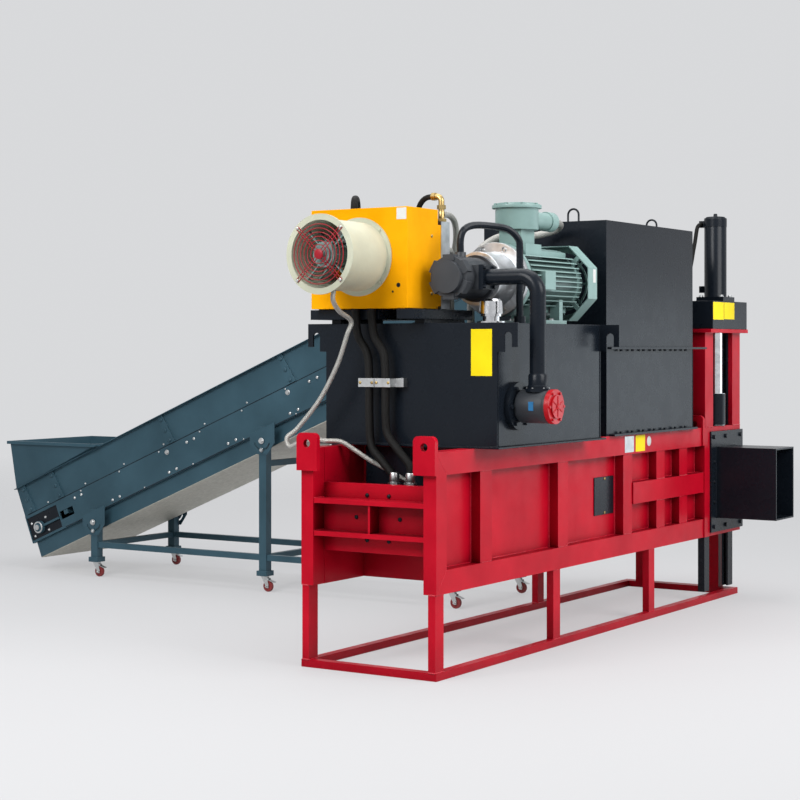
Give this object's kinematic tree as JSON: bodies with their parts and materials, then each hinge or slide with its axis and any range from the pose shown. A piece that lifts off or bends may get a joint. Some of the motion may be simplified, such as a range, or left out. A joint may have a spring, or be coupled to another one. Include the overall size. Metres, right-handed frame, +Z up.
{
  "type": "bagging press",
  "caption": "Horizontal hydraulic bagging press on a tube skid with a power pack on top, a lifting side gate, a square bagging chute and an inclined feed conveyor on casters.",
  "frame": {"origin": "on the floor under the middle of the skid's ram-end cross bar", "axes": "+X from the ram end to the gate end, +Y from the chute side to the feed conveyor, +Z up"},
  "size_m": [4.011, 5.5427, 2.51],
  "materials": {
    "red_paint": "gloss",
    "black_paint": "satin",
    "slate_paint": "satin",
    "green_paint": "satin",
    "yellow_paint": "satin",
    "pale_paint": "satin",
    "chrome_rod": "polished",
    "bare_aluminium": "brushed",
    "grey_iron": "painted",
    "zinc_steel": "zinc plated",
    "galvanised": "galvanised",
    "hose_rubber": "matt",
    "steel_braid": "braided",
    "belt_rubber": "matt",
    "red_cap": "gloss",
    "guard_red": "satin",
    "wheel_red": "matt"
  },
  "bodies": {
    "press": {"base_frame": "red_paint", "press_sides": "red_paint", "press_body": "red_paint", "gate_tower": "red_paint", "gate_guides": "black_paint", "gate_head": "black_paint", "gate_cylinder": "black_paint", "bag_chute": "black_paint", "inspection_cover": "black_paint", "ram_cylinder": "black_paint", "ejector_cylinder": "black_paint", "feed_box_lower": "black_paint", "feed_box_upper": "black_paint", "oil_tank": "black_paint", "suction_pipe": "black_paint", "filter_housing": "black_paint", "pressure_pipe": "black_paint", "conveyor_frame": "slate_paint", "conveyor_skirts": "slate_paint", "conveyor_hopper": "slate_paint", "conveyor_stand": "slate_paint", "tail_bearings": "slate_paint", "motor_body": "green_paint", "motor_cowl": "green_paint", "terminal_box": "green_paint", "fan_motor": "green_paint", "cooler_housing": "yellow_paint", "fan_duct": "pale_paint", "breather": "chrome_rod", "cooler_core": "bare_aluminium", "bell_housing": "bare_aluminium", "pump": "grey_iron", "hose_clamp": "zinc_steel", "conveyor_pan": "galvanised", "hydraulic_hoses": "hose_rubber", "cooler_hoses": "steel_braid", "cable_conduits": "steel_braid", "conveyor_belt": "belt_rubber", "filter_cap": "red_cap", "fan_guard": "guard_red"},
    "ram_body": {"ram": "red_paint", "ram_rod": "chrome_rod"},
    "gate_body": {"gate_plate": "black_paint", "gate_rod": "chrome_rod"},
    "ejector_body": {"ejector_ram": "zinc_steel"},
    "fan_body": {"fan_impeller": "bare_aluminium"},
    "head_drum_body": {"head_drum": "zinc_steel"},
    "tail_drum_body": {"tail_drum": "zinc_steel"},
    "caster_1": {"caster_fork_1": "zinc_steel"},
    "wheel_1": {"caster_wheel_1": "wheel_red"},
    "caster_2": {"caster_fork_2": "zinc_steel"},
    "wheel_2": {"caster_wheel_2": "wheel_red"},
    "caster_3": {"caster_fork_3": "zinc_steel"},
    "wheel_3": {"caster_wheel_3": "wheel_red"},
    "caster_4": {"caster_fork_4": "zinc_steel"},
    "wheel_4": {"caster_wheel_4": "wheel_red"},
    "caster_5": {"caster_fork_5": "zinc_steel"},
    "wheel_5": {"caster_wheel_5": "wheel_red"},
    "caster_6": {"caster_fork_6": "zinc_steel"},
    "wheel_6": {"caster_wheel_6": "wheel_red"}
  },
  "joints": [
    {"name": "ram_press", "type": "slide", "parent": "press", "child": "ram_body", "axis": [1, 0, 0], "range_m": [0, 1.45]},
    {"name": "gate_lift", "type": "slide", "parent": "press", "child": "gate_body", "axis": [0, 0, 1], "range_m": [0, 0.45]},
    {"name": "eject_push", "type": "slide", "parent": "press", "child": "ejector_body", "axis": [0, -1, 0], "range_m": [0, 0.57]},
    {"name": "fan_spin", "type": "hinge", "parent": "press", "child": "fan_body", "pos_m": [0.161, 0.252, 2.13], "axis": [1, 0, 0], "continuous": true},
    {"name": "head_drum_spin", "type": "hinge", "parent": "press", "child": "head_drum_body", "pos_m": [2.635, 0.3845, 1.99495], "axis": [1, 0, 0], "continuous": true},
    {"name": "tail_drum_spin", "type": "hinge", "parent": "press", "child": "tail_drum_body", "pos_m": [2.635, 4.42449, 0.32115], "axis": [1, 0, 0], "continuous": true},
    {"name": "caster_swivel_1", "type": "hinge", "parent": "press", "child": "caster_1", "pos_m": [2.205, 3.83746, 0.1], "axis": [0, 0, 1], "continuous": true},
    {"name": "wheel_roll_1", "type": "hinge", "parent": "caster_1", "child": "wheel_1", "pos_m": [2.205, 3.80946, 0.0375], "axis": [1, 0, 0], "continuous": true},
    {"name": "caster_swivel_2", "type": "hinge", "parent": "press", "child": "caster_2", "pos_m": [3.065, 3.83746, 0.1], "axis": [0, 0, 1], "continuous": true},
    {"name": "wheel_roll_2", "type": "hinge", "parent": "caster_2", "child": "wheel_2", "pos_m": [3.065, 3.80946, 0.0375], "axis": [1, 0, 0], "continuous": true},
    {"name": "caster_swivel_3", "type": "hinge", "parent": "press", "child": "caster_3", "pos_m": [2.205, 2.3197, 0.1], "axis": [0, 0, 1], "continuous": true},
    {"name": "wheel_roll_3", "type": "hinge", "parent": "caster_3", "child": "wheel_3", "pos_m": [2.205, 2.2917, 0.0375], "axis": [1, 0, 0], "continuous": true},
    {"name": "caster_swivel_4", "type": "hinge", "parent": "press", "child": "caster_4", "pos_m": [3.065, 2.3197, 0.1], "axis": [0, 0, 1], "continuous": true},
    {"name": "wheel_roll_4", "type": "hinge", "parent": "caster_4", "child": "wheel_4", "pos_m": [3.065, 2.2917, 0.0375], "axis": [1, 0, 0], "continuous": true},
    {"name": "caster_swivel_5", "type": "hinge", "parent": "press", "child": "caster_5", "pos_m": [2.205, 0.83947, 0.1], "axis": [0, 0, 1], "continuous": true},
    {"name": "wheel_roll_5", "type": "hinge", "parent": "caster_5", "child": "wheel_5", "pos_m": [2.205, 0.81147, 0.0375], "axis": [1, 0, 0], "continuous": true},
    {"name": "caster_swivel_6", "type": "hinge", "parent": "press", "child": "caster_6", "pos_m": [3.065, 0.83947, 0.1], "axis": [0, 0, 1], "continuous": true},
    {"name": "wheel_roll_6", "type": "hinge", "parent": "caster_6", "child": "wheel_6", "pos_m": [3.065, 0.81147, 0.0375], "axis": [1, 0, 0], "continuous": true}
  ],
  "couplings": [
    {"joint": "tail_drum_spin", "follows": "head_drum_spin", "ratio": 1}
  ]
}
